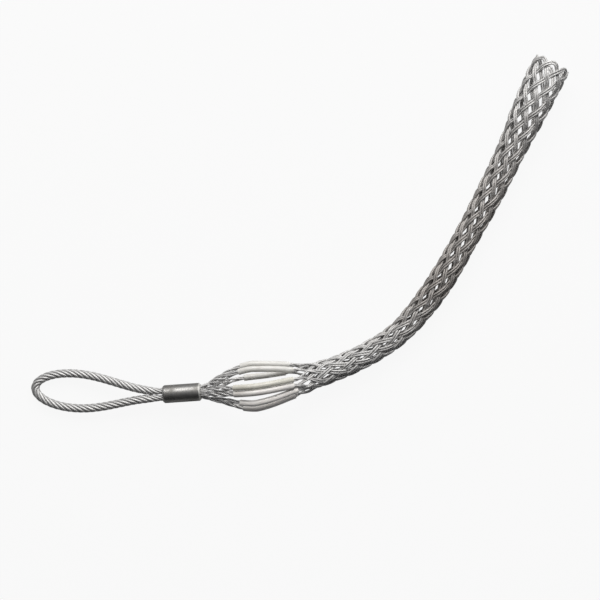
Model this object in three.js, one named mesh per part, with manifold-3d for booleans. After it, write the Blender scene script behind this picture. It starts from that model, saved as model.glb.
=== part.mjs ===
// A cable pulling grip that lies on the ground: a wire rope eye, a swaged ferrule, eight strand legs in
// plastic sleeves, and a tube of woven wire that closes on the cable. Millimetres, +Z up.
import * as THREE from 'three';
import { mergeVertices } from 'three/addons/utils/BufferGeometryUtils.js';
import Module from 'manifold-3d';

const wasm = await Module();
wasm.setup();

const TURN = 2 * Math.PI;
const degrees = THREE.MathUtils.degToRad;

// Gap between pieces that touch
const clearance = 0.3;

// Wire rope and its eye
const ropeDiameter = 8.4;
const ropeStrands = 6;
const ropeGroove = 0.85;
const layLength = 36;
const stepsPerLay = 10;
const pressedDiameter = 6.2;
const pressedRun = 18;
const eyeReach = 129;
const eyeWidth = 35;
const eyeBow = 40;
const eyeTaper = 86;
const eyeSet = degrees(7.2);
const eyeSetStart = 15;

// Ferrule
const ferruleDiameter = 18;
const ferruleLength = 38;
const ferruleChamfer = 1.3;
const ferruleRound = 1.2;
const ferruleSides = 28;
const pressedEndGap = 1;

// Strand legs, in four pairs, and their sleeves
const bundleDiameter = 12.6;
const strandDiameter = 4;
const sleeveWall = 0.5;
const sleeveSteps = 6;
const legSides = 8;
const bareStops = [0, 5, 10, 17, 27];
const spreadRun = 16;
const turnRun = 40;
const pairs = [
  { angle: degrees(27), bundleAngle: degrees(3), spread: 7.2, sleeve: [37, 90] },
  { angle: degrees(100), bundleAngle: degrees(93), spread: 2.95, sleeve: [38.5, 91.5] },
  { angle: degrees(162), bundleAngle: degrees(183), spread: 6.6, sleeve: [42, 95] },
  { angle: degrees(265), bundleAngle: degrees(273), spread: 10, sleeve: [38, 91] },
];
const legRadii = [[0, 4.2], [10, 6.2], [24, 10.6], [40, 18.2], [59, 22.4], [76, 20], [94, 15.6], [112, 13]];

// Woven mesh
const ribbonsPerWay = 6;
const rows = 18;
const ribbonWidth = 5.4;
const ribbonThickness = 2;
const ribbonCrown = 0.6;
const weaveDepth = 0.75;
const loopRound = 1.2;
const loopRows = 0.7;
const loopRing = 0.25;
const weaveRing = 0.5;
const throatStart = 97;
const throatLength = 10;
const throatWall = 4.6;
const throatRelief = 0.7;
const throatSides = 24;

// How the grip lies: its ferrule's mesh end and heading, and the way of the centreline after it. Along the
// mesh each height is also the mesh's outer radius, because the mesh rests on the ground.
const shoulder = new THREE.Vector3(-99, -157.6, 17.5);
const heading = degrees(4.1);
const headingRun = 9;
const way = [
  [-70, -154.2, 21], [-40, -151, 25.2], [-14, -147, 20.6], [-3, -145.4, 17.8], [7, -143.6, 15.6],
  [20, -140, 13.4], [44, -131.2, 12.6], [72, -117.4, 12.4], [98, -99.8, 12.2], [120, -76, 13],
  [142, -45.4, 13.7], [167, -2.2, 13.3], [190.6, 42, 14.4], [212.4, 86.6, 15.2], [229.2, 123.4, 18.4],
  [244.6, 156, 19.8], [254.4, 171.5, 18],
];

const steel = { color: 0x77797a, roughness: 0.38, metalness: 0.9 };
const darkSteel = { color: 0x4a4a49, roughness: 0.42, metalness: 0.9 };
const plastic = { color: 0xc9c8c2, roughness: 0.35, metalness: 0 };

function toSolid(geometry) {
  geometry.deleteAttribute('normal');
  geometry.deleteAttribute('uv');
  const merged = mergeVertices(geometry, 1e-5);
  const corners = [];
  for (let k = 0; k < merged.index.count; k += 3) {
    const [a, b, c] = merged.index.array.slice(k, k + 3);
    if (a !== b && b !== c && c !== a) {
      corners.push(a, b, c);
    }
  }
  const vertProperties = new Float32Array(merged.attributes.position.array);
  const triVerts = new Uint32Array(corners);
  return new wasm.Manifold(new wasm.Mesh({ numProp: 3, vertProperties, triVerts }));
}

function toGeometry(solid) {
  const mesh = solid.getMesh();
  const geometry = new THREE.BufferGeometry();
  geometry.setAttribute('position', new THREE.BufferAttribute(new Float32Array(mesh.vertProperties), 3));
  geometry.setIndex(new THREE.BufferAttribute(new Uint32Array(mesh.triVerts), 1));
  geometry.computeVertexNormals();
  return geometry;
}

// A closed skin through a row of sections with as many points each, turning left about the way ahead.
function loft(sections) {
  const count = sections[0].length;
  const positions = [];
  const triangles = [];
  sections.flat().forEach((point) => positions.push(point.x, point.y, point.z));
  for (let row = 0; row + 1 < sections.length; row += 1) {
    for (let side = 0; side < count; side += 1) {
      const a = row * count + side;
      const b = row * count + (side + 1) % count;
      triangles.push(a, b, b + count, a, b + count, a + count);
    }
  }
  [0, sections.length - 1].forEach((row) => {
    const middle = new THREE.Vector3();
    sections[row].forEach((point) => middle.addScaledVector(point, 1 / count));
    const hub = positions.length / 3;
    positions.push(middle.x, middle.y, middle.z);
    for (let side = 0; side < count; side += 1) {
      const a = row * count + side;
      const b = row * count + (side + 1) % count;
      triangles.push(hub, row ? a : b, row ? b : a);
    }
  });
  const geometry = new THREE.BufferGeometry();
  geometry.setAttribute('position', new THREE.Float32BufferAttribute(positions, 3));
  geometry.setIndex(triangles);
  return geometry;
}

function circle(radius, sides) {
  return Array.from({ length: sides }, (_, k) => (
    new THREE.Vector2(radius, 0).rotateAround(new THREE.Vector2(), TURN * k / sides)));
}

// A flat section set in space, its x along one direction and its y along another.
function place(section, centre, alongX, alongY) {
  return section.map(({ x, y }) => centre.clone().addScaledVector(alongX, x).addScaledVector(alongY, y));
}

function named(name, geometry, finish) {
  const mesh = new THREE.Mesh(geometry, new THREE.MeshStandardMaterial(finish));
  mesh.name = name;
  return mesh;
}

// The centreline starts at the ferrule's mesh end. The head, that is ferrule and eye, leans down from there
// until the eye's tip lies on the ground.
const lean = Math.asin((shoulder.z - ropeDiameter / 2) / (ferruleLength + eyeReach));
const headAxis = new THREE.Vector3(
  Math.cos(heading) * Math.cos(lean), Math.sin(heading) * Math.cos(lean), Math.sin(lean));
const centreline = new THREE.CatmullRomCurve3([
  shoulder,
  shoulder.clone().addScaledVector(headAxis, headingRun),
  ...way.map((point) => new THREE.Vector3(...point)),
]);
centreline.arcLengthDivisions = 800;
const centrelineLength = centreline.getLength();

function station(distance) {
  const share = THREE.MathUtils.clamp(distance / centrelineLength, 0, 1);
  const ahead = distance < 0 ? headAxis.clone() : centreline.getTangentAt(share);
  const centre = centreline.getPointAt(share).addScaledVector(headAxis, Math.min(distance, 0));
  const side = new THREE.Vector3(0, 0, 1).cross(ahead).normalize();
  const up = ahead.clone().cross(side);
  return { centre, ahead, side, up };
}

function outward({ side, up }, angle) {
  return side.clone().multiplyScalar(Math.cos(angle)).addScaledVector(up, Math.sin(angle));
}

// The frame of a sweep at one place on its path: ahead, out and across, square to each other.
function pathFrame(path, at, step) {
  const { point, out } = path(at);
  const ahead = path(at + step).point.sub(path(at - step).point).normalize();
  out.addScaledVector(ahead, -out.dot(ahead)).normalize();
  return { point, out, ahead, across: ahead.clone().cross(out) };
}

// Rope eye, in the head's frame: X towards the mesh, the ferrule's mesh end at the origin.
const seatPlace = pressedDiameter / 2 + clearance;

function eyeLine() {
  const crown = eyeReach - eyeBow;
  const arm = [];
  for (let reach = pressedEndGap - ferruleLength / 2; reach < crown; reach += 8) {
    const fall = THREE.MathUtils.clamp((crown - reach) / eyeTaper, 0, 1);
    arm.push([reach, THREE.MathUtils.lerp(seatPlace, eyeWidth / 2, (1 + Math.cos(Math.PI * fall)) / 2)]);
  }
  const bow = [];
  for (let swing = 90; swing >= -90; swing -= 18) {
    bow.push([crown + eyeBow * Math.cos(degrees(swing)), eyeWidth / 2 * Math.sin(degrees(swing))]);
  }
  const back = arm.map(([reach, offset]) => [reach, -offset]).reverse();
  const drift = (reach) => Math.tan(eyeSet) * (Math.hypot(Math.max(reach, 0), eyeSetStart) - eyeSetStart);
  return new THREE.CatmullRomCurve3([...arm, ...bow, ...back].map(([reach, offset]) => (
    new THREE.Vector3(-ferruleLength - reach, offset + drift(reach), 0))));
}

function ropeSection(radius, twist) {
  const groove = ropeGroove * 2 * radius / ropeDiameter;
  return Array.from({ length: 2 * ropeStrands }, (_, k) => (
    new THREE.Vector2(radius - (k % 2) * groove, 0)
      .rotateAround(new THREE.Vector2(), TURN * k / (2 * ropeStrands) + twist)));
}

function wireRopeEye() {
  const line = eyeLine();
  line.arcLengthDivisions = 600;
  const length = line.getLength();
  const steps = Math.round(length / layLength * stepsPerLay);
  const up = new THREE.Vector3(0, 0, 1);
  const sections = [];
  for (let step = 0; step <= steps; step += 1) {
    const along = length * step / steps;
    const free = Math.min(along, length - along) - ferruleLength / 2;
    const relax = THREE.MathUtils.smoothstep(free, 0, pressedRun);
    const radius = THREE.MathUtils.lerp(pressedDiameter, ropeDiameter, relax) / 2;
    const side = up.clone().cross(line.getTangentAt(step / steps));
    const section = ropeSection(radius, TURN * along / layLength);
    sections.push(place(section, line.getPointAt(step / steps), side, up));
  }
  return named('wire_rope_eye', loft(sections), steel);
}

// Ferrule, in the head's frame: an oval seat for the two rope ends meets a round one for the wires.
function ferrule() {
  const radius = ferruleDiameter / 2;
  const middle = ferruleLength / 2;
  const over = 1;
  const rounding = new THREE.Path();
  rounding.moveTo(0, -ferruleLength);
  rounding.lineTo(radius - ferruleRound, -ferruleLength);
  rounding.absarc(radius - ferruleRound, ferruleRound - ferruleLength, ferruleRound, -TURN / 4, 0);
  rounding.lineTo(radius, -ferruleChamfer);
  rounding.lineTo(radius - ferruleChamfer, 0);
  rounding.lineTo(0, 0);
  const body = new THREE.LatheGeometry(rounding.getPoints(4), ferruleSides).rotateZ(-TURN / 4);
  const oval = new THREE.Shape();
  oval.absarc(0, seatPlace, seatPlace, 0, TURN / 2);
  oval.absarc(0, -seatPlace, seatPlace, TURN / 2, TURN);
  const ropeSeat = new THREE.ExtrudeGeometry(oval, {
    depth: middle + 2 * over, bevelEnabled: false, curveSegments: 10,
  }).rotateY(TURN / 4).translate(-ferruleLength - over, 0, 0);
  const boreRadius = bundleDiameter / 2 + clearance;
  const wireSeat = new THREE.CylinderGeometry(boreRadius, boreRadius, middle + over, ferruleSides)
    .rotateZ(-TURN / 4).translate((over - middle) / 2, 0, 0);
  const solid = toSolid(body).subtract(toSolid(ropeSeat)).subtract(toSolid(wireSeat));
  return named('ferrule', toGeometry(solid), darkSteel);
}

// Strand legs. In the ferrule each fills one sector of the bore, and past it each becomes round. The
// direction at a place is read from this far before it to this far after it.
const legReach = 0.5;
const sectorAngle = TURN / (2 * pairs.length);
const sectorShift = clearance / 2 / Math.sin(sectorAngle / 2);
const sectorRadius = bundleDiameter / 2 - sectorShift;
const sectorMiddle = 0.63;
const sectorCentre = sectorShift + sectorRadius * sectorMiddle;
const sectorCorners = [[1, 0], [1, 1], [0.62, 1], [0.3, 1], [0.12, 0], [0.3, -1], [0.62, -1], [1, -1]];
const sectorSection = sectorCorners.map(([reach, swing]) => new THREE.Vector2(
  sectorShift + sectorRadius * reach * Math.cos(swing * sectorAngle / 2) - sectorCentre,
  sectorRadius * reach * Math.sin(swing * sectorAngle / 2)));
const legSpline = new THREE.SplineCurve(legRadii.map((pair) => new THREE.Vector2(...pair)));
const legSamples = legSpline.getPoints(200);

function legRadius(distance) {
  const next = legSamples.findIndex(({ x }) => x > distance);
  if (next < 1) {
    return next === 0 ? legSamples[0].y : legSamples.at(-1).y;
  }
  const before = legSamples[next - 1];
  const share = (distance - before.x) / (legSamples[next].x - before.x);
  return THREE.MathUtils.lerp(before.y, legSamples[next].y, share);
}

function legPath(pair, member) {
  return (distance) => {
    const here = station(distance);
    const turned = THREE.MathUtils.smoothstep(distance, 0, turnRun);
    const angle = THREE.MathUtils.lerp(pair.bundleAngle, pair.angle, turned);
    const radius = distance < 0 ? sectorCentre : Math.max(sectorCentre, legRadius(distance));
    const spread = THREE.MathUtils.lerp(sectorCentre * Math.sin(sectorAngle / 2), pair.spread, turned);
    const swing = member * Math.asin(Math.min(spread / radius, 1));
    const out = outward(here, angle + swing);
    return { point: here.centre.addScaledVector(out, radius), out };
  };
}

function sleeveStops([start, end]) {
  return Array.from({ length: sleeveSteps + 1 }, (_, k) => (
    THREE.MathUtils.lerp(start, end, k / sleeveSteps)));
}

function strandLeg(name, path, sleeve) {
  const round = circle(strandDiameter / 2, legSides);
  const stops = [pressedEndGap - ferruleLength / 2, ...bareStops, ...sleeveStops(sleeve)];
  const sections = stops.map((distance) => {
    const { point, out, across } = pathFrame(path, distance, legReach);
    const loose = THREE.MathUtils.smoothstep(distance, 0, spreadRun);
    const section = sectorSection.map((corner, k) => corner.clone().lerp(round[k], loose));
    return place(section, point, out, across);
  });
  const seat = throatStart - clearance;
  const { point, out } = path(seat);
  sections.push(place(round, point, out, station(seat).ahead.cross(out)));
  return named(name, loft(sections), steel);
}

function shoulderSleeve(name, path, sleeve) {
  const bore = strandDiameter / 2 + clearance;
  const tube = (radius, stops) => toSolid(loft(stops.map((distance) => {
    const { point, out, across } = pathFrame(path, distance, legReach);
    return place(circle(radius, legSides), point, out, across);
  })));
  const stops = sleeveStops(sleeve);
  const through = [stops[0] - 1, ...stops, stops.at(-1) + 1];
  return named(name, toGeometry(tube(bore + sleeveWall, stops).subtract(tube(bore, through))), plastic);
}

// Woven mesh. The share of the braid that lies between its mouth and a place grows as the length over the
// radius, so the braid angle is the same all along.
const meshStart = throatStart + ribbonWidth / 2;
const braidSteps = 400;
const rowReach = 0.05;
const outerRadius = (distance) => station(distance).centre.z;

function braidStations() {
  const stations = [{ share: 0, distance: centrelineLength }];
  for (let step = 1; step <= braidSteps; step += 1) {
    const distance = THREE.MathUtils.lerp(centrelineLength, meshStart, step / braidSteps);
    const share = stations[step - 1].share + 1 / outerRadius(distance);
    stations.push({ share, distance });
  }
  const total = stations[braidSteps].share;
  return stations.map(({ share, distance }) => ({ share: share / total, distance }));
}

const braid = braidStations();

function braidDistance(share) {
  const next = braid.findIndex((stop) => stop.share >= share);
  if (next < 1) {
    return next === 0 ? centrelineLength : meshStart;
  }
  const before = braid[next - 1];
  const part = (share - before.share) / (braid[next].share - before.share);
  return THREE.MathUtils.lerp(before.distance, braid[next].distance, part);
}

// One half of a folded ribbon, from its turn at the mouth to the throat. It goes over and under by turns.
// Its turning is 1 to the left about the way ahead and -1 to the right.
function ribbonPath(first, turning) {
  return (row) => {
    const fall = (Math.hypot(row, loopRound) - loopRound) / (Math.hypot(rows, loopRound) - loopRound);
    const distance = braidDistance(fall);
    const lift = row < loopRows ? 0 : turning * weaveDepth * Math.sign(Math.cos(Math.PI * row));
    const here = station(distance);
    const out = outward(here, (first + turning * row / 2) * TURN / ribbonsPerWay);
    const radius = outerRadius(distance) - ribbonThickness / 2 - weaveDepth + lift;
    return { point: here.centre.addScaledVector(out, radius), out };
  };
}

function ribbonHalf(first, turning) {
  const half = ribbonWidth / 2;
  const high = ribbonThickness / 2;
  const section = [
    [half, -high], [half * ribbonCrown, high], [-half * ribbonCrown, high], [-half, -high],
  ].map(([x, y]) => new THREE.Vector2(x, y));
  const path = ribbonPath(first, turning);
  const sections = [];
  for (let row = 0; row <= rows; row += row < loopRows ? loopRing : weaveRing) {
    const { point, out, across } = pathFrame(path, row, rowReach);
    sections.push(place(section, point, across.negate(), out));
  }
  return toSolid(loft(sections));
}

function throat() {
  const tube = (inset, over) => {
    const sections = [];
    for (let step = -over; step <= 2 + over; step += 1) {
      const distance = throatStart + throatLength * step / 2;
      const { centre, side, up } = station(distance);
      sections.push(place(circle(outerRadius(distance) - inset, throatSides), centre, side, up));
    }
    return toSolid(loft(sections));
  };
  return tube(throatRelief, 0).subtract(tube(throatWall, 1));
}

function wovenMesh() {
  let solid = throat();
  for (let first = 0; first < ribbonsPerWay; first += 1) {
    solid = solid.add(ribbonHalf(first, 1)).add(ribbonHalf(first, -1));
  }
  return named('woven_mesh', toGeometry(solid), steel);
}

const head = new THREE.Group();
head.add(wireRopeEye(), ferrule());
const headSide = new THREE.Vector3(0, 0, 1).cross(headAxis).normalize();
const headFrame = new THREE.Matrix4().makeBasis(headAxis, headSide, headAxis.clone().cross(headSide));
head.quaternion.setFromRotationMatrix(headFrame);
head.position.copy(shoulder);

const grip = new THREE.Group();
grip.add(head, wovenMesh());
pairs.forEach((pair, p) => {
  [-1, 1].forEach((member, m) => {
    const number = 2 * p + m + 1;
    const path = legPath(pair, member);
    grip.add(strandLeg(`strand_leg_${number}`, path, pair.sleeve));
    grip.add(shoulderSleeve(`shoulder_sleeve_${number}`, path, pair.sleeve));
  });
});

// The origin lies on the ground, under the middle of the grip's box.
const model = new THREE.Group();
model.add(grip);
const box = new THREE.Box3().setFromObject(model, true);
const middle = box.getCenter(new THREE.Vector3());
grip.position.set(-middle.x, -middle.y, -box.min.z);

export default model;
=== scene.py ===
"""Cable pulling grip with a wire rope eye, a swaged ferrule, sleeved strand legs and a tube of woven wire.

Metres, +Z up, the grip lying on the ground. The centreline starts at the ferrule's mesh end and runs
to the mouth of the mesh, and every wire is placed by its distance along it.
"""
import math
import random
from bisect import bisect_right

import bmesh
import bpy
from bpy.props import FloatProperty, FloatVectorProperty, IntProperty, PointerProperty
from mathutils import Matrix, Vector


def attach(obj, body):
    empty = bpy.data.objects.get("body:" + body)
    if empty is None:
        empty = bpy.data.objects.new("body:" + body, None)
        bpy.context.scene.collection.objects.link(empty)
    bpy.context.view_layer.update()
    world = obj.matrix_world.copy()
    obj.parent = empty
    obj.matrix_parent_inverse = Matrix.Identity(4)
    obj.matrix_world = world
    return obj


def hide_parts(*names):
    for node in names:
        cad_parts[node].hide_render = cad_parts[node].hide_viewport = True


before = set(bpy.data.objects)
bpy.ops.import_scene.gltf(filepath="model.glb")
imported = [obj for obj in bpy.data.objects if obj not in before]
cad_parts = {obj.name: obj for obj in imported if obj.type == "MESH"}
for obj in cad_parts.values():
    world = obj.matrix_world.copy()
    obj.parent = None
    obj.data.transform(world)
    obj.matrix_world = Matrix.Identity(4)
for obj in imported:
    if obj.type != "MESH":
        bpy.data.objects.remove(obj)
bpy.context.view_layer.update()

bl_info = {
    "name": "Cable pulling grip",
    "version": (1, 0, 0),
    "blender": (4, 5, 0),
    "location": "3D View > Sidebar > Grip",
    "description": "Rope eye, ferrule, strand legs, sleeves and woven mesh of a cable pulling grip",
    "category": "Mesh",
}

MM = 0.001
TURN = 2 * math.pi
UP = Vector((0, 0, 1))

# Rings of a tube that are extruded in one go, and the angle from which an edge is sharp
RUN = 24
SHARP = math.radians(50)

# Distances from one ring to the next along the rope and along a wire, and the number of them on a sleeve
ROPE_STEP = 1.3 * MM
WIRE_STEP = 1.5 * MM
SLEEVE_STEPS = 48

# How the grip lies, as the solids do
MOVED = Vector((0.056, -1.625, 0.102)) * MM
SHOULDER = Vector((-99, -157.6, 17.5)) * MM
HEADING = math.radians(4.1)
HEADING_RUN = 9 * MM
WAY = [
    (-70, -154.2, 21), (-40, -151, 25.2), (-14, -147, 20.6), (-3, -145.4, 17.8), (7, -143.6, 15.6),
    (20, -140, 13.4), (44, -131.2, 12.6), (72, -117.4, 12.4), (98, -99.8, 12.2), (120, -76, 13),
    (142, -45.4, 13.7), (167, -2.2, 13.3), (190.6, 42, 14.4), (212.4, 86.6, 15.2), (229.2, 123.4, 18.4),
    (244.6, 156, 19.7), (251.4, 168.4, 19.7),
]

# Ferrule and the ends of the rope pressed into it
FERRULE_LENGTH = 38 * MM
ROPE_SEAT = 3.4 * MM
PRESSED_DIAMETER = 6.2 * MM
PRESSED_RUN = 18 * MM
EYE_REACH = 129 * MM
EYE_WIDTH = 35 * MM
EYE_BOW = 40 * MM
EYE_TAPER = 86 * MM
EYE_SET = math.radians(7.2)
EYE_SET_START = 15 * MM
ARM_STEP = 8 * MM
BOW_STEP = 18

# The ferrule's outline from the rope's end to the wires' end and into their bore: place and radius
FERRULE_PROFILE = [
    (-38, 7.8), (-37.55, 8.1), (-37.0, 8.62), (-36.5, 8.9), (-35.9, 9.0), (-30, 9.0), (-20, 9.03),
    (-8, 9.0), (-1.75, 9.0), (-1.35, 8.9), (-0.3, 7.85), (0, 7.62), (0, 7.0), (-0.25, 6.68),
    (-0.7, 6.6), (-19, 6.6), (-19, 0),
]
FERRULE_SEGMENTS = 96
FERRULE_WALL = 0.2 * MM

# Strand legs in four pairs: angle at the widest place, angle in the ferrule, half the gap there and half
# the gap at the mesh, and where the sleeves start and end
PAIRS = [
    (22, 3, 6.4, 7.2, 43, 92), (97, 93, 3.2, 3.12, 38, 90), (156, 183, 7.6, 7.3, 42, 94),
    (273, 273, 7.5, 7.6, 41, 91),
]
LEG_RADII = [
    (0, 4.2), (10, 8.2), (22, 12.8), (38, 19.4), (52, 22.3), (60, 21.9), (76, 19.2), (94, 15.6), (112, 13),
]
SECTOR_CENTRE = 4.114 * MM
TURN_RUN = 40 * MM

# Places of a leg's four wires in the ferrule, by radius and angle, and where they become a bundle
SEATS = [(5.35, 11.25), (5.35, -11.25), (3.6, 7.5), (3.6, -22.5)]
INNER_SEAT = 1.6
SEAT_RUN = 16 * MM

# How much the bare bundles swell between the ferrule and the sleeves, and where
LOOSE = 0.7
LOOSE_RISE = 14 * MM
LOOSE_FALL = (24 * MM, 37 * MM)
GATHER_START = 56 * MM
GATHER_END = 97 * MM

# Plastics of the sleeves, by the share of the plain colour, what is added to it, the dirt, and how much the
# plastic hides, and the one that each sleeve is made of
PLASTICS = {
    "sleeve plastic": (1.0, (0, 0, 0, 0), 0.35, 0.56),
    "cream sleeve plastic": (1.0, (0.0, -0.01, -0.06, 0), 0.4, 0.42),
    "rosy sleeve plastic": (0.95, (0.01, -0.005, 0, 0.05), 0.4, 0.66),
    # A lighter and more opaque copy of the plastic: painted light on the two sleeves that lie in the shadow
    # of the pair above them, over their own pale warm tint
    "pale sleeve plastic with painted light": (1.1, (0.01, -0.01, -0.01, -0.1), 0.2, 0.8),
}
SLEEVES = [
    "sleeve plastic", "sleeve plastic", "cream sleeve plastic", "rosy sleeve plastic",
    "pale sleeve plastic with painted light", "pale sleeve plastic with painted light", "sleeve plastic", "sleeve plastic",
]

# The weave's end among the legs, where it is full, where a ribbon's piece ends and its legs' pieces begin,
# and where its wires lie evenly
WEAVE_END = 91 * MM
WEAVE_FULL = 124 * MM
CUT = 97 * MM
EVEN = (105 * MM, 150 * MM)

# The angle of the first leg's wires, the depth of a ribbon's middle in the wall, the mesh's mean radius,
# and the length in which a wire of fine strands turns once
FIRST_LEG = math.radians(1.5)
RIBBON_DEPTH = 2 * MM
MEAN_RADIUS = 12 * MM
WIRE_LAY = 19 * MM

# Share of a row that is looked ahead to find which way a ribbon runs
PROBE = 0.02


class RopeSizes(bpy.types.PropertyGroup):
    diameter: FloatProperty(name="Diameter", description="Thickness of the rope of the eye",
                            default=8.4 * MM, unit="LENGTH", precision=5)
    strands: IntProperty(name="Strands", description="Strands laid round the rope", default=6, min=3)
    wires: IntProperty(name="Wires", description="Outer wires that show on a strand", default=9, min=5)
    lay: FloatProperty(name="Lay length", description="Length in which a strand goes once round the rope",
                       default=36 * MM, unit="LENGTH", precision=4)


class WireSizes(bpy.types.PropertyGroup):
    diameter: FloatProperty(name="Diameter", description="Thickness of a wire of the mesh",
                            default=2.1 * MM, unit="LENGTH", precision=5)
    squeezed: FloatProperty(name="Squeezed", description="Share of that thickness left in the sleeves",
                            default=0.86, min=0.5, max=1)
    ribbons: IntProperty(name="Ribbons", description="Pairs of wires that lie each way round the mesh",
                         default=8, min=8, max=8)
    rows: IntProperty(name="Rows", description="Crossings of a ribbon from the mouth to the legs",
                      default=35)
    row_length: FloatProperty(name="Row length", description="Length of ribbon from one crossing to the next",
                              default=13.2 * MM, unit="LENGTH", precision=4)
    depth: FloatProperty(name="Weave depth", description="How far a ribbon rises over another one",
                         default=1.0 * MM, unit="LENGTH", precision=5)
    gap: FloatProperty(name="Gap", description="Gap between the two wires of a ribbon",
                       default=0.12 * MM, unit="LENGTH", precision=5)
    fold: FloatProperty(name="Fold", description="Roundness of a ribbon's turn at the mouth, in rows",
                        default=0.8)
    bundle_lay: FloatProperty(name="Bundle lay", description="Length of a turn of the wires in a strand leg",
                              default=44 * MM, unit="LENGTH", precision=4)
    stray: FloatProperty(name="Stray", description="How far a wire strays from its even place",
                         default=0.45 * MM, unit="LENGTH", precision=5)


class SleeveSizes(bpy.types.PropertyGroup):
    outer: FloatProperty(name="Outer diameter", description="Thickness of a plastic sleeve",
                         default=6.2 * MM, unit="LENGTH", precision=5)
    wall: FloatProperty(name="Wall", description="Thickness of its wall",
                        default=0.5 * MM, unit="LENGTH", precision=5)


class Finishes(bpy.types.PropertyGroup):
    steel: FloatVectorProperty(name="Wire", description="Colour of the bright steel wires",
                               subtype="COLOR", size=4, default=(0.50, 0.497, 0.492, 1))
    # The colour of the patchy dirt and of the painted shade in the grooves between the wires
    grime_and_shade_colour: FloatVectorProperty(name="Grime", description="Colour of the dark film between the wires",
                               subtype="COLOR", size=4, default=(0.07, 0.062, 0.055, 1))
    ferrule: FloatVectorProperty(name="Ferrule", description="Colour of the ferrule's dark steel",
                                 subtype="COLOR", size=4, default=(0.22, 0.214, 0.2, 1))
    sleeve: FloatVectorProperty(name="Sleeve", description="Colour of the plastic sleeves",
                                subtype="COLOR", size=4, default=(0.84, 0.832, 0.80, 1))


def clamp(value, low=0.0, high=1.0):
    return max(low, min(high, value))


def mix(a, b, share):
    return a + (b - a) * share


def smooth(value, low, high):
    share = clamp((value - low) / (high - low))
    return share * share * (3 - 2 * share)


def place_in(values, wanted):
    """The number of the last rising value that isn't above the wanted one, the last of all left out."""
    return clamp(bisect_right(values, wanted) - 1, 0, len(values) - 2)


def curve(start, end, leaving, arriving, t):
    """A cubic from start to end with a speed at each."""
    return (start + leaving * t + (3 * (end - start) - 2 * leaving - arriving) * t ** 2
            + (2 * (start - end) + leaving + arriving) * t ** 3)


class Line:
    """A centripetal spline through points, measured along its length."""

    def __init__(self, points, steps=60):
        ends = [points[0] * 2 - points[1], *points, points[-1] * 2 - points[-2]]
        self.points = []
        for a, b, c, d in zip(ends, ends[1:], ends[2:], ends[3:]):
            first, middle, last = [(q - p).length ** 0.5 for p, q in ((a, b), (b, c), (c, d))]
            start = ((b - a) / first - (c - a) / (first + middle) + (c - b) / middle) * middle
            stop = ((c - b) / middle - (d - b) / (middle + last) + (d - c) / last) * middle
            self.points += [curve(b, c, start, stop, step / steps) for step in range(steps)]
        self.points.append(points[-1].copy())
        self.along = [0.0]
        for a, b in zip(self.points, self.points[1:]):
            self.along.append(self.along[-1] + (b - a).length)
        self.length = self.along[-1]

    def point(self, distance):
        k = place_in(self.along, distance)
        share = clamp((distance - self.along[k]) / (self.along[k + 1] - self.along[k]))
        return self.points[k].lerp(self.points[k + 1], share)

    def ahead(self, distance):
        reach = self.length / len(self.points)
        low, high = clamp(distance - reach, 0, self.length), clamp(distance + reach, 0, self.length)
        return (self.point(high) - self.point(low)).normalized()


LEAN = math.asin((SHOULDER.z - 4.2 * MM) / (FERRULE_LENGTH + EYE_REACH))
HEAD_AXIS = Vector((
    math.cos(HEADING) * math.cos(LEAN), math.sin(HEADING) * math.cos(LEAN), math.sin(LEAN)))
centreline = Line([SHOULDER, SHOULDER + HEAD_AXIS * HEADING_RUN, *(Vector(point) * MM for point in WAY)])
head_side = UP.cross(HEAD_AXIS).normalized()
head_frame = Matrix.Translation(SHOULDER + MOVED) @ Matrix(
    (HEAD_AXIS, head_side, HEAD_AXIS.cross(head_side))).transposed().to_4x4()


def station(distance):
    """The centreline's point and its three directions at a distance from the ferrule."""
    ahead = HEAD_AXIS.copy() if distance < 0 else centreline.ahead(distance)
    centre = centreline.point(clamp(distance, 0, centreline.length)) + HEAD_AXIS * min(distance, 0)
    side = UP.cross(ahead).normalized()
    return centre, ahead, side, ahead.cross(side)


def leg_radii(steps=30):
    """Samples of the smooth rise and fall of the legs about the centreline."""
    samples = []
    last = len(LEG_RADII) - 1
    for k in range(last):
        a, b, c, d = [Vector(LEG_RADII[clamp(k + n, 0, last)]) * MM for n in (-1, 0, 1, 2)]
        samples += [curve(b, c, (c - a) / 2, (d - b) / 2, step / steps) for step in range(steps)]
    return samples


RADII = leg_radii()


def leg_radius(distance):
    for a, b in zip(RADII, RADII[1:]):
        if b.x > distance:
            return mix(a.y, b.y, clamp((distance - a.x) / (b.x - a.x)))
    return RADII[-1].y


def leg_place(leg, distance):
    """A strand leg's angle about the centreline and its distance from it."""
    angle, bundle_angle, spread, gathered, _, _ = PAIRS[leg // 2]
    turned = smooth(distance, 0, TURN_RUN)
    radius = SECTOR_CENTRE if distance < 0 else max(SECTOR_CENTRE, leg_radius(distance))
    wide = mix(spread, gathered, smooth(distance, GATHER_START, GATHER_END)) * MM
    gap = mix(SECTOR_CENTRE * math.sin(TURN / 16), wide, turned)
    swing = math.asin(min(gap / radius, 1)) * (1 if leg % 2 else -1)
    return math.radians(mix(bundle_angle, angle, turned)) + swing, radius


def round_about(distance, angle, radius):
    centre, _, side, up = station(distance)
    return centre + (side * math.cos(angle) + up * math.sin(angle)) * radius + MOVED


def frames(points, centres, scales=None):
    """A matrix for each point of a sweep: X out from the centre, Y across, Z ahead."""
    made = []
    for k, point in enumerate(points):
        ahead = (points[min(k + 1, len(points) - 1)] - points[max(k - 1, 0)]).normalized()
        out = point - centres[k]
        out = (out - ahead * out.dot(ahead)).normalized()
        turn = Matrix((out, ahead.cross(out), ahead)).transposed().to_4x4()
        scale = scales[k] if scales else 1
        made.append(Matrix.Translation(point) @ turn @ Matrix.Diagonal((scale, scale, 1, 1)))
    return made


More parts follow.
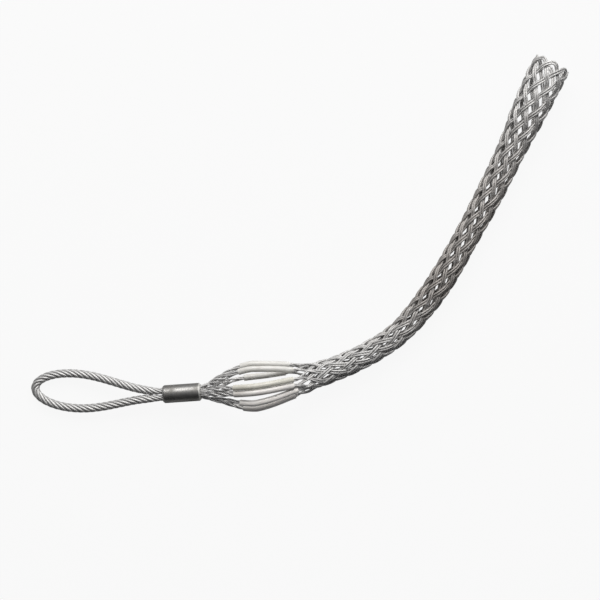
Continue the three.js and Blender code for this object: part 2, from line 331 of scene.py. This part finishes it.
def laid_ring(lobes, radius, groove, per_lobe):
    """The outline of a strand: a lobe for each outer wire, and how deep in a groove each point lies."""
    ring = []
    count = lobes * per_lobe
    for k in range(count):
        depth = abs(math.cos(math.pi * k / per_lobe)) ** 2
        angle = TURN * k / count
        ring.append((Vector((math.cos(angle), math.sin(angle), 0)) * (radius - groove * depth), depth))
    return ring


def sweep(bm, ring, matrices, shade, mark=None):
    """Adds a tube: a ring extruded along matrices, in short runs because a long one is slow, ends closed.

    The mark, if there is one, is told each ring's vertices and number.
    """
    last = len(matrices) - 1
    for start in range(0, last, RUN):
        stop = min(start + RUN, last)
        run = new_bmesh()
        tone = run.verts.layers.float["tone"]
        groove = run.verts.layers.float["groove"]
        verts = []
        for point, depth in ring:
            vert = run.verts.new(matrices[start] @ point)
            vert[tone] = shade
            vert[groove] = depth
            verts.append(vert)
        edges = [run.edges.new((a, b)) for a, b in zip(verts, verts[1:] + verts[:1])]
        if mark:
            mark(verts, start, groove)
        if start == 0:
            bmesh.ops.contextual_create(run, geom=edges)
        told = mark and (lambda moved, step: mark(moved, start + step, groove))
        edges = extrude_along(run, edges, matrices[start:stop + 1], told)
        if stop == last:
            bmesh.ops.contextual_create(run, geom=edges)
        mesh = bpy.data.meshes.new("run")
        run.to_mesh(mesh)
        run.free()
        bm.from_mesh(mesh)
        bpy.data.meshes.remove(mesh)


def extrude_along(bm, edges, matrices, told=None):
    """Extrudes a ring of edges from the first matrix to the last, and returns the last ring."""
    for step, (before, matrix) in enumerate(zip(matrices, matrices[1:]), 1):
        made = bmesh.ops.extrude_edge_only(bm, edges=edges)["geom"]
        moved = [part for part in made if isinstance(part, bmesh.types.BMVert)]
        edges = [part for part in made if isinstance(part, bmesh.types.BMEdge)
                 and part.verts[0] in moved and part.verts[1] in moved]
        bmesh.ops.transform(bm, matrix=matrix @ before.inverted(), verts=moved)
        if told:
            told(moved, step)
    return edges


def new_bmesh():
    bm = bmesh.new()
    bm.verts.layers.float.new("tone")
    # How deep a point lies in a groove, by which the steel paints shade
    bm.verts.layers.float.new("groove")
    return bm


def finish_piece(bm, name, material, nodes):
    """Turns a bmesh into a piece that rides on the root and stands for some solids."""
    bmesh.ops.remove_doubles(bm, verts=bm.verts, dist=0.002 * MM)
    bmesh.ops.recalc_face_normals(bm, faces=bm.faces)
    for face in bm.faces:
        face.smooth = True
    for edge in bm.edges:
        edge.smooth = edge.calc_face_angle(0) < SHARP
    mesh = bpy.data.meshes.new(name)
    bm.to_mesh(mesh)
    bm.free()
    mesh.materials.append(material)
    piece = bpy.data.objects.new(name, mesh)
    bpy.context.scene.collection.objects.link(piece)
    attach(piece, "root")
    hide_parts(*nodes)


class Value:
    """A shader socket on which Python's arithmetic adds Math nodes."""

    def __init__(self, shader, socket):
        self.shader = shader
        self.socket = socket

    def _math(self, operation, a, b):
        return self.shader.node("ShaderNodeMath", {"operation": operation}, {0: a, 1: b})

    def __add__(self, other):
        return self._math("ADD", self, other)

    def __sub__(self, other):
        return self._math("SUBTRACT", self, other)

    def __rsub__(self, other):
        return self._math("SUBTRACT", other, self)

    def __mul__(self, other):
        return self._math("MULTIPLY", self, other)

    __radd__ = __add__
    __rmul__ = __mul__


class Shader:
    """A material, with one method that adds any node."""

    def __init__(self, name):
        self.material = bpy.data.materials.new(name)
        self.material.use_nodes = True
        self.tree = self.material.node_tree
        self.tree.nodes.clear()

    def node(self, kind, settings=None, sockets=None, output=0):
        node = self.tree.nodes.new(kind)
        for key, value in (settings or {}).items():
            if key == "stops":
                ramp = node.color_ramp.elements
                while len(ramp) < len(value):
                    ramp.new(0.5)
                for element, (position, grey) in zip(ramp, value):
                    element.position = position
                    element.color = (grey, grey, grey, 1)
            else:
                setattr(node, key, value)
        for key, value in (sockets or {}).items():
            if isinstance(value, Value):
                self.tree.links.new(value.socket, node.inputs[key])
            else:
                node.inputs[key].default_value = value
        return Value(self, node.outputs[output]) if node.outputs else None

    def place(self):
        return self.node("ShaderNodeTexCoord", output="Object")

    def noise(self, scale, detail=3.0, where=None):
        return self.node("ShaderNodeTexNoise", None, {
            "Vector": where or self.place(), "Scale": scale, "Detail": detail}, "Fac")

    def ramp(self, value, *stops):
        return self.node("ShaderNodeValToRGB", {"stops": stops}, {"Fac": value})

    def attribute(self, name):
        return self.node("ShaderNodeAttribute", {"attribute_name": name}, output="Fac")

    def blend(self, factor, a, b, way="MIX"):
        return self.node("ShaderNodeMix", {"data_type": "RGBA", "blend_type": way}, {
            0: factor, 6: a, 7: b}, 2)

    def bump(self, height, distance, strength=1.0):
        return self.node("ShaderNodeBump", None, {
            "Height": height, "Distance": distance, "Strength": strength})

    def surface(self, sockets):
        shader = self.node("ShaderNodeBsdfPrincipled", None, sockets)
        self.node("ShaderNodeOutputMaterial", None, {"Surface": shader})
        return self.material


def grey(level):
    return (level, level, level, 1)


def wire_steel(name, finishes, bright, grime_and_shade_share, soiled=0.0):
    """Drawn steel wire: bright crowns, painted shade in the grooves between wires and strands mixed with
    patchy dirt, and browner halfway along the mesh.
    """
    shader = Shader(name)
    cloud = shader.noise(160.0, 4.0)
    speck = shader.noise(1400.0, 3.0)
    groove = shader.attribute("groove")
    tone = shader.attribute("tone")
    # Painted shade: the groove value darkens the hollows between the wires and between the rope's strands,
    # and the noise adds patchy dirt
    grime_and_shade = shader.ramp(groove * 0.75 + cloud * 0.55 - 0.25, (0.15, 0), (0.85, 1))
    across = shader.node("ShaderNodeVectorMath", {"operation": "DOT_PRODUCT"}, {
        0: shader.place(), 1: (0, 1, 0)}, "Value")
    handled = shader.ramp(across * 3.1 + 0.37 + 0.2 * cloud, (0.1, 0), (0.28, 1), (0.6, 0.75), (0.92, 0))
    crown = shader.blend(speck, grey(bright * 0.9), grey(bright * 1.1))
    steel = shader.blend(1.0, finishes.steel, crown, "MULTIPLY")
    steel = shader.blend(1.0, steel, shader.blend(tone, grey(0.78), grey(1.12)), "MULTIPLY")
    steel = shader.blend(handled * soiled, steel, (0.30, 0.272, 0.25, 1))
    return shader.surface({
        "Base Color": shader.blend(grime_and_shade * grime_and_shade_share, steel, finishes.grime_and_shade_colour),
        "Metallic": mix(0.55, 0.92, grime_and_shade_share) - 0.3 * grime_and_shade,
        "Roughness": 0.54 + 0.12 * cloud + 0.16 * grime_and_shade,
        "Normal": shader.bump(speck, 0.00005, 0.25),
    })


def ferrule_steel(finishes):
    """Turned and pressed steel, darkened, with fine marks that run round it, and painted highlights in a
    bare-steel colour on the chamfer and the rim at its two ends.
    """
    shader = Shader("ferrule steel")
    along = shader.node("ShaderNodeVectorMath", {"operation": "DOT_PRODUCT"}, {
        0: shader.place(), 1: tuple(HEAD_AXIS)}, "Value")
    marks = shader.node("ShaderNodeTexNoise", {"noise_dimensions": "1D"}, {
        "W": along, "Scale": 2600.0, "Detail": 3.0}, "Fac")
    bands = shader.node("ShaderNodeTexNoise", {"noise_dimensions": "1D"}, {
        "W": along, "Scale": 420.0, "Detail": 1.0}, "Fac")
    cloud = shader.noise(110.0, 5.0)
    stain = shader.ramp(cloud, (0.42, 0), (0.68, 1))
    base = shader.blend(marks * 0.5 + bands * 0.4, finishes.ferrule, grey(0.38))
    base = shader.blend(stain * 0.5, base, (0.09, 0.083, 0.072, 1))
    # Painted highlights: the chamfer at the wires' end and the rim at the rope's end get a pale steel colour
    # where light would shine on them
    end = HEAD_AXIS.dot(SHOULDER + MOVED)
    chamfer_highlight = shader.ramp((along - (end - 2.2 * MM)) * 400 + cloud * 0.2, (0.3, 0), (0.5, 1))
    rim_highlight = shader.ramp((end - FERRULE_LENGTH + 1.8 * MM - along) * 500, (0.2, 0), (0.7, 1))
    colour = shader.blend(chamfer_highlight * 0.85 + rim_highlight * 0.35, base, (0.80, 0.79, 0.76, 1))
    return shader.surface({
        "Base Color": colour,
        "Metallic": 0.94 - 0.2 * stain,
        "Roughness": 0.36 + 0.08 * marks + 0.12 * stain + 0.1 * chamfer_highlight,
        "Normal": shader.bump(marks, 0.00008, 0.5),
    })


def sleeve_plastic(name, tint, dirt, cover):
    """Milky plastic tube that lets the wires show, scuffed and a little dirty."""
    shader = Shader(name)
    cloud = shader.noise(90.0, 4.0)
    scuff = shader.noise(700.0, 3.0)
    soil = shader.ramp(cloud, (0.45, 0), (0.75, 1))
    return shader.surface({
        "Base Color": shader.blend(soil * dirt, tint, (0.30, 0.26, 0.21, 1)),
        "Roughness": 0.16 + 0.14 * scuff,
        "Alpha": cover + 0.28 * cloud,
        "Normal": shader.bump(scuff, 0.00008, 0.6),
    })


class GRIP_OT_rope_eye(bpy.types.Operator):
    """Lay the strands of the rope eye, both its ends pressed into the ferrule"""

    bl_idname = "grip.rope_eye"
    bl_label = "Rope eye"

    def line(self):
        crown = EYE_REACH - EYE_BOW
        reaches = [1 * MM - FERRULE_LENGTH / 2]
        while reaches[-1] + ARM_STEP < crown:
            reaches.append(reaches[-1] + ARM_STEP)
        arm = []
        for reach in reaches:
            fall = clamp((crown - reach) / EYE_TAPER)
            arm.append((reach, mix(ROPE_SEAT, EYE_WIDTH / 2, (1 + math.cos(math.pi * fall)) / 2)))
        bow = []
        for swing in range(90, -91, -BOW_STEP):
            angle = math.radians(swing)
            bow.append((crown + EYE_BOW * math.cos(angle), EYE_WIDTH / 2 * math.sin(angle)))
        places = arm + bow + [(reach, -offset) for reach, offset in reversed(arm)]
        points = []
        for reach, offset in places:
            drift = math.tan(EYE_SET) * (math.hypot(max(reach, 0), EYE_SET_START) - EYE_SET_START)
            points.append(head_frame @ Vector((-FERRULE_LENGTH - reach, offset + drift, 0)))
        return Line(points, 30)

    def execute(self, context):
        rope = context.scene.grip_rope
        line = self.line()
        radius = rope.diameter / 3 / 2
        ring = laid_ring(rope.wires, radius * 1.04, radius * 0.03, 3)
        normal = head_frame.to_3x3() @ UP
        steps = round(line.length / ROPE_STEP)
        bm = new_bmesh()
        for strand in range(rope.strands):
            points, centres, scales = [], [], []
            for step in range(steps + 1):
                along = line.length * step / steps
                free = min(along, line.length - along) - FERRULE_LENGTH / 2
                scale = mix(PRESSED_DIAMETER / rope.diameter, 1, smooth(free, 0, PRESSED_RUN))
                ahead = line.ahead(along)
                side = normal.cross(ahead).normalized()
                angle = TURN * (along / rope.lay + strand / rope.strands)
                out = side * math.cos(angle) + ahead.cross(side) * math.sin(angle)
                centres.append(line.point(along))
                points.append(centres[-1] + out * radius * 2 * scale)
                scales.append(scale)

            def mark(verts, step, groove):
                """Paints shade on what lies deep between two strands, by raising its groove value."""
                full = rope.diameter / 2 * scales[step]
                for vert in verts:
                    sunk = 1 - (vert.co - centres[step]).length / full
                    vert[groove] = max(vert[groove] * 0.15, smooth(sunk, 0.07, 0.22))

            made = frames(points, centres, scales)
            for step, matrix in enumerate(made):
                turn = -TURN * line.length * step / steps / (rope.lay * 0.62)
                made[step] = matrix @ Matrix.Rotation(turn, 4, "Z")
            sweep(bm, ring, made, 0.35 + 0.3 * (strand % 2), mark)
        steel = wire_steel("rope steel", context.scene.grip_finishes, 1.2, 0.78)
        finish_piece(bm, "rope_eye", steel, ["wire_rope_eye"])
        return {"FINISHED"}


class GRIP_OT_ferrule(bpy.types.Operator):
    """Turn the ferrule, with an oval seat for the rope and a round one for the wires"""

    bl_idname = "grip.ferrule"
    bl_label = "Ferrule"

    def execute(self, context):
        bm = new_bmesh()
        verts = [bm.verts.new(Vector((x, 0, r)) * MM) for x, r in FERRULE_PROFILE]
        edges = [bm.edges.new(pair) for pair in zip(verts, verts[1:])]
        bmesh.ops.spin(bm, geom=verts + edges, axis=(1, 0, 0), cent=(0, 0, 0), angle=TURN,
                       steps=FERRULE_SEGMENTS, use_merge=True)
        bmesh.ops.remove_doubles(bm, verts=bm.verts, dist=0.01 * MM)
        rim = [edge for edge in bm.edges if len(edge.link_faces) == 1]
        seat = bmesh.ops.create_circle(bm, segments=FERRULE_SEGMENTS, radius=ROPE_SEAT,
                                       matrix=Matrix.Rotation(TURN / 4, 4, "Y"))["verts"]
        for side in (-1, 1):
            half = [vert for vert in seat if vert.co.y * side > 1e-6]
            bmesh.ops.translate(bm, verts=half, vec=(0, side * ROPE_SEAT, 0))
        bmesh.ops.translate(bm, verts=seat, vec=(-FERRULE_LENGTH, 0, 0))
        edge_ring = list({edge for vert in seat for edge in vert.link_edges})
        bmesh.ops.bridge_loops(bm, edges=rim + edge_ring)
        made = bmesh.ops.extrude_edge_only(bm, edges=edge_ring)["geom"]
        floor = [part for part in made if isinstance(part, bmesh.types.BMVert)]
        bmesh.ops.translate(bm, verts=floor, vec=(FERRULE_LENGTH / 2 - FERRULE_WALL, 0, 0))
        bmesh.ops.contextual_create(bm, geom=[edge for edge in bm.edges if len(edge.link_faces) == 1])
        bmesh.ops.transform(bm, matrix=head_frame, verts=bm.verts)
        finish_piece(bm, "ferrule_body", ferrule_steel(context.scene.grip_finishes),
                     ["ferrule"])
        return {"FINISHED"}


class Weave:
    """The places of all the wires, from the fold at the mouth to the ferrule."""

    def __init__(self, wire):
        self.wire = wire
        self.step = TURN / wire.ribbons
        self.stray = {}
        distances = [mix(centreline.length, WEAVE_END, k / 400) for k in range(401)]
        shares = [0.0]
        for distance in distances[1:]:
            half_step = (self.outer(distance) - RIBBON_DEPTH) * self.step / 2
            shares.append(shares[-1] + 1 / math.sqrt(wire.row_length ** 2 - half_step ** 2))
        self.shares = [share / shares[-1] for share in shares]
        self.distances = distances
        shuffle = random.Random(31)
        for ribbon in range(wire.ribbons):
            for key in (-1, 0, 1):
                self.stray[ribbon, key] = [
                    (shuffle.uniform(35, 190), shuffle.uniform(0, TURN), shuffle.uniform(0.3, 1))
                    for _ in range(6)]

    def outer(self, distance):
        """The mesh lies on the ground, so its radius is its centreline's height."""
        return station(distance)[0].z

    def scale(self, distance):
        """The wires are drawn a little thinner where a sleeve holds four of them."""
        return mix(self.wire.squeezed, 1, smooth(distance, WEAVE_END, WEAVE_FULL))

    def distance(self, row):
        """The distance along the centreline at which a ribbon makes a crossing, 0 being its fold."""
        fold = self.wire.fold
        rows = self.wire.rows
        share = (math.hypot(row, fold) - fold) / (math.hypot(rows, fold) - fold)
        k = place_in(self.shares, share)
        part = clamp((share - self.shares[k]) / (self.shares[k + 1] - self.shares[k]))
        return mix(self.distances[k], self.distances[k + 1], part)

    def waver(self, ribbon, key, row):
        """A slow wander between -1 and 1, and a second one for the height."""
        waves = self.stray[ribbon, key]
        return [sum(size * math.sin(row * 12 / length * TURN + start) for length, start, size in part) / 2
                for part in (waves[:3], waves[3:])]

    def leg_of(self, ribbon, way):
        """The leg in which one of a ribbon's two ends is."""
        return int(ribbon + way * (self.wire.rows - self.wire.rows % 2) / 2
                   + (way > 0) * (self.wire.rows % 2)) % self.wire.ribbons

    def leg_offset(self, leg, slot, distance):
        """A wire's place beside the leg's own line: a twisted bundle of four, or a sector of the bore."""
        centre = self.wire.diameter * self.wire.squeezed / 2 * math.sqrt(2)
        turn = TURN * (distance / self.wire.bundle_lay + slot / 4 + 1 / 8)
        bundle = Vector((math.cos(turn), math.sin(turn))) * centre
        bundle *= 1 + LOOSE * smooth(distance, 0, LOOSE_RISE) * (1 - smooth(distance, *LOOSE_FALL))
        loose = smooth(distance, 0, SEAT_RUN)
        if loose == 1:
            return bundle
        radius, angle = SEATS[slot]
        if leg % 2 == 0 and slot > 1:
            angle = -angle
        if leg % 2 and slot == 3:
            radius = INNER_SEAT
        angle = math.radians(angle)
        seated = Vector((radius * MM * math.cos(angle) - SECTOR_CENTRE, radius * MM * math.sin(angle)))
        return seated.lerp(bundle, loose)

    def leg_point(self, leg, slot, distance):
        angle, radius = leg_place(leg, distance)
        offset = self.leg_offset(leg, slot, distance)
        centre, _, side, up = station(distance)
        out = side * math.cos(angle) + up * math.sin(angle)
        across = up * math.cos(angle) - side * math.sin(angle)
        return centre + out * (radius + offset.x) + across * offset.y + MOVED

    def point(self, ribbon, beside, row):
        """A point of one wire of a folded ribbon. Rows below zero run back down the other way."""
        wire = self.wire
        way = 1 if row >= 0 else -1
        distance = self.distance(row)
        wander, rise = self.waver(ribbon, 0, row)
        own, own_rise = self.waver(ribbon, beside, row)
        strength = wire.stray * (1 + 1.6 * (1 - smooth(distance, *EVEN)))
        angle = FIRST_LEG + self.step * (ribbon + row / 2)
        lift = math.tanh(1.7 * math.cos(math.pi * row)) / math.tanh(1.7) * wire.depth
        lift *= way * smooth(abs(row), 0.1, 0.7)
        radius = self.outer(distance) - wire.diameter / 2 - wire.depth - 0.05 * MM + lift
        radius -= abs(rise + own_rise) * 0.25 * strength
        angle += (wander * 1.3 + own * 0.3) * strength / radius
        place = round_about(distance, angle, radius)
        near = round_about(self.distance(row + PROBE), angle + self.step * PROBE / 2, radius)
        ahead = (near - place).normalized()
        out = (place - MOVED - station(distance)[0]).normalized()
        place = place + ahead.cross(out).normalized() * beside * (wire.diameter + wire.gap) / 2
        woven = smooth(distance, WEAVE_END, WEAVE_FULL)
        if woven < 1:
            slot = (0 if way > 0 else 2) + (0 if beside > 0 else 1)
            leg = self.leg_of(ribbon, way)
            place = self.leg_point(leg, slot, distance).lerp(place, woven)
        return place, distance

    def rows_between(self, ribbon):
        """Row values a wire step apart along a ribbon, from one cut over the fold to the other."""
        half = []
        row = 0.0
        while self.distance(row) > CUT:
            half.append(row)
            here, there = [round_about(self.distance(at), self.step * at / 2, MEAN_RADIUS)
                           for at in (row, row + PROBE)]
            row += PROBE * WIRE_STEP / (there - here).length
        low, high = half[-1], row
        for _ in range(30):
            middle = (low + high) / 2
            if self.distance(middle) > CUT:
                low = middle
            else:
                high = middle
        if half[-1] > high - 0.05:
            half.pop()
        half.append(high)
        return [-row for row in reversed(half[1:])] + half


def sweep_wire(bm, weave, found, shade):
    """Adds a twisted wire through places that are given with their distances along the centreline."""
    diameter = weave.wire.diameter
    points = [point for point, _ in found]
    centres = [station(distance)[0] + MOVED for _, distance in found]
    scales = [weave.scale(distance) for _, distance in found]
    along = 0.0
    matrices = []
    for k, matrix in enumerate(frames(points, centres, scales)):
        along += (points[k] - points[k - 1]).length if k else 0
        matrices.append(matrix @ Matrix.Rotation(TURN * along / WIRE_LAY, 4, "Z"))
    sweep(bm, laid_ring(6, diameter / 2, diameter * 0.03, 2), matrices, shade)


class GRIP_OT_woven_mesh(bpy.types.Operator):
    """Weave the folded ribbons of two wires each into the tube"""

    bl_idname = "grip.woven_mesh"
    bl_label = "Woven mesh"

    def execute(self, context):
        wire = context.scene.grip_wire
        weave = Weave(wire)
        steel = wire_steel("wire steel", context.scene.grip_finishes, 1.42, 0.5, 0.75)
        shuffle = random.Random(7)
        for ribbon in range(wire.ribbons):
            bm = new_bmesh()
            rows = weave.rows_between(ribbon)
            for beside in (-1, 1):
                found = [weave.point(ribbon, beside, row) for row in rows]
                sweep_wire(bm, weave, found, shuffle.uniform(0.1, 1))
            finish_piece(bm, f"woven_ribbon_{ribbon + 1}", steel, ["woven_mesh"])
        return {"FINISHED"}


class GRIP_OT_strand_legs(bpy.types.Operator):
    """Gather the wires four by four into the strand legs, down to the ferrule"""

    bl_idname = "grip.strand_legs"
    bl_label = "Strand legs"

    def execute(self, context):
        wire = context.scene.grip_wire
        weave = Weave(wire)
        steel = wire_steel("leg steel", context.scene.grip_finishes, 1.6, 0.62)
        shuffle = random.Random(19)
        ends = {leg: [] for leg in range(wire.ribbons)}
        for ribbon in range(wire.ribbons):
            rows = weave.rows_between(ribbon)
            for way, row in ((1, rows[-1]), (-1, rows[0])):
                for beside in (-1, 1):
                    ends[weave.leg_of(ribbon, way)].append((ribbon, way, beside, row))
        for leg, wires in ends.items():
            bm = new_bmesh()
            for ribbon, way, beside, row in wires:
                slot = (0 if way > 0 else 2) + (0 if beside > 0 else 1)
                found = []
                while weave.distance(row) > WEAVE_END + 0.05 * MM:
                    found.append(weave.point(ribbon, beside, row))
                    row += way * 0.1
                distance = WEAVE_END
                while distance > 1 * MM - FERRULE_LENGTH / 2:
                    found.append((weave.leg_point(leg, slot, distance), distance))
                    distance -= WIRE_STEP
                sweep_wire(bm, weave, found, shuffle.uniform(0.1, 1))
            finish_piece(bm, f"leg_wires_{leg + 1}", steel, [f"strand_leg_{leg + 1}"])
        return {"FINISHED"}


class GRIP_OT_sleeves(bpy.types.Operator):
    """Draw a plastic sleeve over each strand leg"""

    bl_idname = "grip.sleeves"
    bl_label = "Shoulder sleeves"

    def execute(self, context):
        sleeve = context.scene.grip_sleeve
        tint = Vector(context.scene.grip_finishes.sleeve)
        plastics = {name: sleeve_plastic(name, tint * share + Vector(added), dirt, cover)
                    for name, (share, added, dirt, cover) in PLASTICS.items()}
        for leg in range(8):
            start, end = [place * MM for place in PAIRS[leg // 2][4:]]
            points, centres = [], []
            for step in range(SLEEVE_STEPS + 1):
                distance = mix(start, end, step / SLEEVE_STEPS)
                points.append(round_about(distance, *leg_place(leg, distance)))
                centres.append(station(distance)[0] + MOVED)
            matrices = frames(points, centres)
            bm = new_bmesh()
            rims = []
            for radius in (sleeve.outer / 2, sleeve.outer / 2 - sleeve.wall):
                made = bmesh.ops.create_circle(bm, segments=24, radius=radius, matrix=matrices[0])["verts"]
                edges = list({edge for vert in made for edge in vert.link_edges})
                rims.append((edges, extrude_along(bm, edges, matrices)))
            for end_rim in (0, 1):
                bmesh.ops.bridge_loops(bm, edges=rims[0][end_rim] + rims[1][end_rim])
            finish_piece(bm, f"sleeve_{leg + 1}", plastics[SLEEVES[leg]],
                         [f"shoulder_sleeve_{leg + 1}"])
        return {"FINISHED"}


class GRIP_OT_stage(bpy.types.Operator):
    """Set the floor, the lights and a camera straight above"""

    bl_idname = "grip.stage"
    bl_label = "Stage"

    def key_light(self):
        lamp = bpy.data.lights.new("key", "AREA")
        lamp.shape = "RECTANGLE"
        lamp.size, lamp.size_y = 2.0, 1.1
        lamp.energy = 43
        lamp.color = (1, 0.985, 0.965)
        key = bpy.data.objects.new("key", lamp)
        key.location = (0.1, 1.3, 1.2)
        ahead = Vector((0.02, -0.07, 0)) - key.location
        key.rotation_euler = ahead.to_track_quat("-Z", "Y").to_euler()
        bpy.context.scene.collection.objects.link(key)

    def floor_material(self):
        shader = Shader("pale floor")
        path = shader.tree.nodes.new("ShaderNodeLightPath")
        camera = Value(shader, path.outputs["Is Camera Ray"])
        glossy = Value(shader, path.outputs["Is Glossy Ray"])
        through = Value(shader, path.outputs["Is Transmission Ray"])
        diffuse = shader.node("ShaderNodeBsdfDiffuse", None, {"Color": grey(0.42)})
        glow = shader.node("ShaderNodeEmission", None, {"Color": grey(1.0), "Strength": 1.0})
        seen = shader.node("ShaderNodeMath", {"operation": "MAXIMUM"}, {0: camera, 1: through})
        share = seen * 0.92 + glossy * 0.06
        surface = shader.node("ShaderNodeMixShader", None, {0: share, 1: diffuse, 2: glow})
        shader.node("ShaderNodeOutputMaterial", None, {"Surface": surface})
        return shader.material

    def sky(self):
        """A soft sky, pale towards +Y and dim towards -Y, as a studio with one dark side."""
        world = bpy.data.worlds.new("studio")
        world.use_nodes = True
        tree = world.node_tree
        place = tree.nodes.new("ShaderNodeTexCoord")
        parts = tree.nodes.new("ShaderNodeSeparateXYZ")
        ramp = tree.nodes.new("ShaderNodeMapRange")
        ramp.inputs["From Min"].default_value = -0.45
        ramp.inputs["From Max"].default_value = 0.7
        ramp.inputs["To Min"].default_value = 0.03
        ramp.inputs["To Max"].default_value = 0.5
        tree.links.new(place.outputs["Generated"], parts.inputs[0])
        tree.links.new(parts.outputs["Y"], ramp.inputs["Value"])
        tree.links.new(ramp.outputs[0], tree.nodes["Background"].inputs["Strength"])
        tree.nodes["Background"].inputs["Color"].default_value = (0.94, 0.96, 1.0, 1)
        return world

    def execute(self, context):
        scene = context.scene
        bm = bmesh.new()
        bmesh.ops.create_grid(bm, x_segments=1, y_segments=1, size=6)
        mesh = bpy.data.meshes.new("floor")
        bm.to_mesh(mesh)
        bm.free()
        mesh.materials.append(self.floor_material())
        floor = bpy.data.objects.new("floor", mesh)
        scene.collection.objects.link(floor)

        scene.world = self.sky()
        self.key_light()

        camera = bpy.data.cameras.new("camera")
        camera.sensor_width = 36
        height = 2.0
        camera.lens = 36 * (height - 0.015) / 0.6
        eye = bpy.data.objects.new("camera", camera)
        eye.location = (0.00006, -0.0676, height)
        scene.collection.objects.link(eye)
        scene.camera = eye
        scene.view_settings.view_transform = "Standard"
        return {"FINISHED"}


class GRIP_PT_panel(bpy.types.Panel):
    """The grip's pieces, in the order in which they are made"""

    bl_idname = "GRIP_PT_panel"
    bl_label = "Cable pulling grip"
    bl_space_type = "VIEW_3D"
    bl_region_type = "UI"
    bl_category = "Grip"

    def draw(self, context):
        for group in ("grip_rope", "grip_wire", "grip_sleeve", "grip_finishes"):
            box = self.layout.box()
            values = getattr(context.scene, group)
            for key in values.bl_rna.properties.keys():
                if key not in {"rna_type", "name"}:
                    box.prop(values, key)
        for operator in OPERATORS:
            self.layout.operator(operator.bl_idname)


GROUPS = {"grip_rope": RopeSizes, "grip_wire": WireSizes, "grip_sleeve": SleeveSizes,
          "grip_finishes": Finishes}
OPERATORS = [GRIP_OT_stage, GRIP_OT_rope_eye, GRIP_OT_ferrule, GRIP_OT_strand_legs, GRIP_OT_woven_mesh,
             GRIP_OT_sleeves]


def register():
    for cls in (*GROUPS.values(), *OPERATORS, GRIP_PT_panel):
        bpy.utils.register_class(cls)
    for name, group in GROUPS.items():
        setattr(bpy.types.Scene, name, PointerProperty(type=group))


def unregister():
    for name in GROUPS:
        delattr(bpy.types.Scene, name)
    for cls in (GRIP_PT_panel, *reversed(OPERATORS), *GROUPS.values()):
        bpy.utils.unregister_class(cls)


def main():
    register()
    for operator in OPERATORS:
        group, name = operator.bl_idname.split(".")
        getattr(getattr(bpy.ops, group), name)()


if __name__ == "__main__":
    main()
